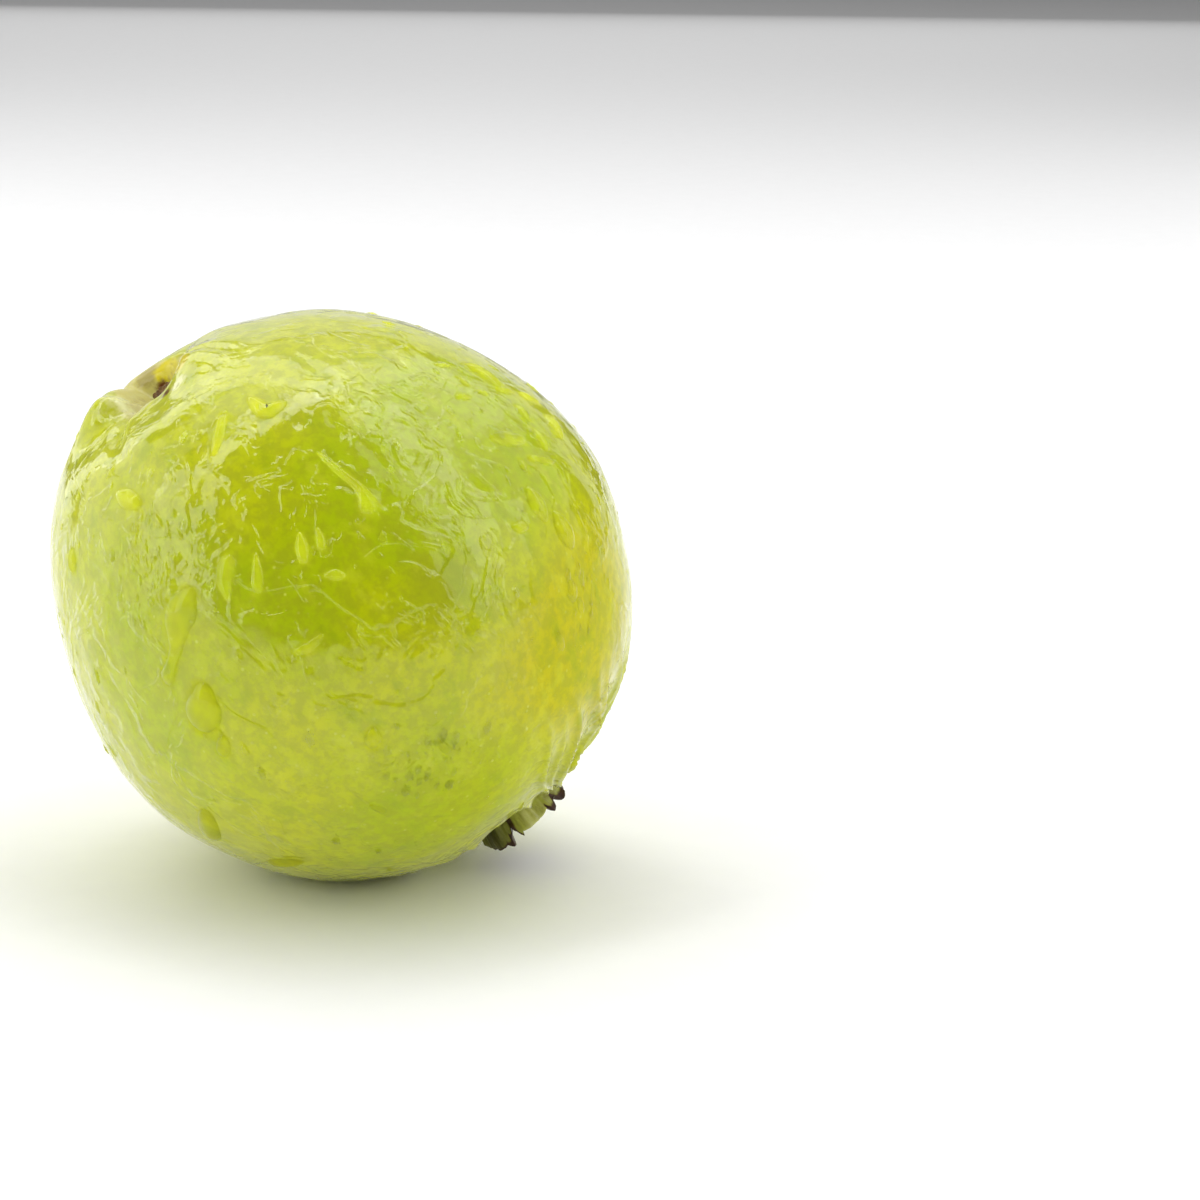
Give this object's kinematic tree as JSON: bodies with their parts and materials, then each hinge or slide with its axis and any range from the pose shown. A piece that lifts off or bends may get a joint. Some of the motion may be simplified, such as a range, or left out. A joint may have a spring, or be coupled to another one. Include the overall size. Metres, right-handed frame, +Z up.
{
  "type": "guava",
  "caption": "Whole ripe guava lying on its side, with a dried calyx crown at one end and a stalk hollow at the other.",
  "frame": {"origin": "on the flat spot that the fruit rests on, under its centre of mass", "axes": "+Z up from the surface it lies on, +X towards the calyx end of the leaning axis"},
  "size_m": [0.0807, 0.0792, 0.0793],
  "materials": {
    "skin": "wet yellow-green guava skin, smooth with fine pores and faint darker mottling",
    "dried_calyx": "dried sepals, olive at the foot and dark brown to black at the tips, dull",
    "stalk": "broken dry stalk, brown and fibrous, dull"
  },
  "bodies": {
    "root": {"fruit": "skin", "calyx": "dried_calyx", "stalk_stub": "stalk"}
  },
  "joints": []
}
